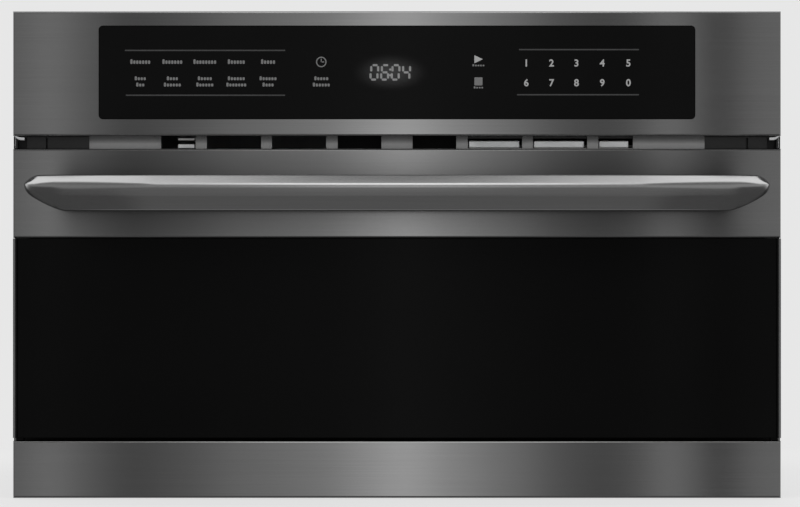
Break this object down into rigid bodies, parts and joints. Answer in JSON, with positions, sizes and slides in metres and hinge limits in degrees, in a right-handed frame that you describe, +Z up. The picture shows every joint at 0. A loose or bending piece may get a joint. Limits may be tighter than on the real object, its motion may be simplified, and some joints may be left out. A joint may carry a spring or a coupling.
{
  "type": "built-in microwave oven",
  "caption": "Built-in microwave oven with a drop-down black glass door, a full-width blade handle, a touch-glass control fascia, a vent strip, a lower trim and a turntable cavity.",
  "frame": {"origin": "middle of the oven's bounding box, at the lower trim's bottom edge", "axes": "+X to the viewer's right, the front faces -Y, +Z up"},
  "size_m": [0.759, 0.554, 0.481],
  "materials": {
    "dark_steel": "dark brushed stainless steel, grain along the width",
    "handle_metal": "satin metal, grain along the length",
    "black_glass": "black glass, back-printed and polished",
    "clear_plate": "clear tempered glass",
    "tray_glass": "clear moulded glass",
    "black_plastic": "fine-grained black moulding",
    "pale_plastic": "plain white moulding",
    "galvanised": "zinc-coated sheet",
    "black_paint": "black baked paint",
    "cavity_paint": "grey baked enamel paint",
    "plain_steel": "bright steel",
    "board_green": "green laminate",
    "copper_iron": "varnished laminations and windings",
    "mica": "pressed mica sheet",
    "rubber": "black moulded rubber",
    "tin": "plain aluminium"
  },
  "bodies": {
    "chassis": {"control_fascia": "dark_steel", "touch_glass": "black_glass", "control_housing": "black_plastic", "display_module": "black_plastic", "control_board": "board_green", "front_plate": "black_paint", "vent_grille": "dark_steel", "vent_end_caps": "black_plastic", "corner_clips": "plain_steel", "exhaust_duct": "galvanised", "vent_bracket": "plain_steel", "lower_trim": "dark_steel", "trim_brackets": "galvanised", "hinge_brackets": "plain_steel", "interlock_switches": "black_plastic", "latch_housings": "black_plastic", "cavity_wrapper": "cavity_paint", "cavity_rear_wall": "cavity_paint", "base_plate": "galvanised", "top_cover": "galvanised", "right_panel": "galvanised", "left_panel": "galvanised", "back_panel": "galvanised", "panel_screws": "plain_steel", "cord_gland": "black_plastic", "feet": "rubber", "turntable_motor": "tin", "waveguide": "galvanised", "mica_cover": "mica", "magnetron": "tin", "fan_shroud": "black_plastic", "fan_motor": "copper_iron", "transformer": "copper_iron", "capacitor": "tin", "lamp_lens": "clear_plate", "lamp_housing": "galvanised", "lamp_bulb": "clear_plate", "filter_board": "board_green"},
    "door": {"door_glass": "black_glass", "door_side_trims": "dark_steel", "door_band": "dark_steel", "door_frame": "black_paint", "door_screen": "black_paint", "choke_cover": "black_plastic", "door_window": "clear_plate", "handle": "handle_metal", "handle_screws": "plain_steel", "hinge_leaves": "plain_steel", "latch_carriers": "galvanised"},
    "hook_left": {"latch_hook_left": "pale_plastic"},
    "hook_right": {"latch_hook_right": "pale_plastic"},
    "plunger_left": {"switch_plunger_left": "pale_plastic"},
    "plunger_right": {"switch_plunger_right": "pale_plastic"},
    "turntable": {"drive_coupler": "pale_plastic", "turntable_tray": "tray_glass"},
    "support_ring": {"roller_ring": "pale_plastic"},
    "wheel_1": {"roller_1": "pale_plastic"},
    "wheel_2": {"roller_2": "pale_plastic"},
    "wheel_3": {"roller_3": "pale_plastic"},
    "fan_wheel": {"fan_impeller": "black_plastic"}
  },
  "joints": [
    {"name": "door_hinge", "type": "hinge", "parent": "chassis", "child": "door", "pos_m": [0, -0.215, 0.0713], "axis": [1, 0, 0], "range_deg": [0, 90], "stiffness_Nm_per_rad": 4, "springref_deg": -17.19},
    {"name": "latch_left", "type": "hinge", "parent": "door", "child": "hook_left", "pos_m": [-0.32, -0.217, 0.305], "axis": [1, 0, 0], "range_deg": [0, 8], "stiffness_Nm_per_rad": 0.08, "springref_deg": -11.46},
    {"name": "interlock_left", "type": "slide", "parent": "chassis", "child": "plunger_left", "axis": [0, 1, 0], "range_m": [0, 0.0015], "stiffness_N_per_m": 300, "springref_m": -0.002},
    {"name": "latch_right", "type": "hinge", "parent": "door", "child": "hook_right", "pos_m": [0.32, -0.217, 0.305], "axis": [1, 0, 0], "range_deg": [0, 8], "stiffness_Nm_per_rad": 0.08, "springref_deg": -11.46},
    {"name": "interlock_right", "type": "slide", "parent": "chassis", "child": "plunger_right", "axis": [0, 1, 0], "range_m": [0, 0.0015], "stiffness_N_per_m": 300, "springref_m": -0.002},
    {"name": "turntable_spin", "type": "hinge", "parent": "chassis", "child": "turntable", "pos_m": [0, 0.004, 0.1], "axis": [0, 0, 1], "continuous": true},
    {"name": "ring_spin", "type": "hinge", "parent": "chassis", "child": "support_ring", "pos_m": [0, 0.004, 0.1], "axis": [0, 0, 1], "continuous": true},
    {"name": "roller_1_spin", "type": "hinge", "parent": "support_ring", "child": "wheel_1", "pos_m": [0, 0.103, 0.1083], "axis": [0, 1, 0], "continuous": true},
    {"name": "roller_2_spin", "type": "hinge", "parent": "support_ring", "child": "wheel_2", "pos_m": [-0.08574, -0.0455, 0.1083], "axis": [-0.866, -0.5, 0], "continuous": true},
    {"name": "roller_3_spin", "type": "hinge", "parent": "support_ring", "child": "wheel_3", "pos_m": [0.08574, -0.0455, 0.1083], "axis": [0.866, -0.5, 0], "continuous": true},
    {"name": "fan_spin", "type": "hinge", "parent": "chassis", "child": "fan_wheel", "pos_m": [0.125, 0.142, 0.384], "axis": [0, 1, 0], "continuous": true}
  ],
  "couplings": [
    {"joint": "ring_spin", "follows": "turntable_spin", "ratio": 0.5},
    {"joint": "roller_1_spin", "follows": "turntable_spin", "ratio": -6.1875},
    {"joint": "roller_2_spin", "follows": "turntable_spin", "ratio": -6.1875},
    {"joint": "roller_3_spin", "follows": "turntable_spin", "ratio": -6.1875}
  ]
}
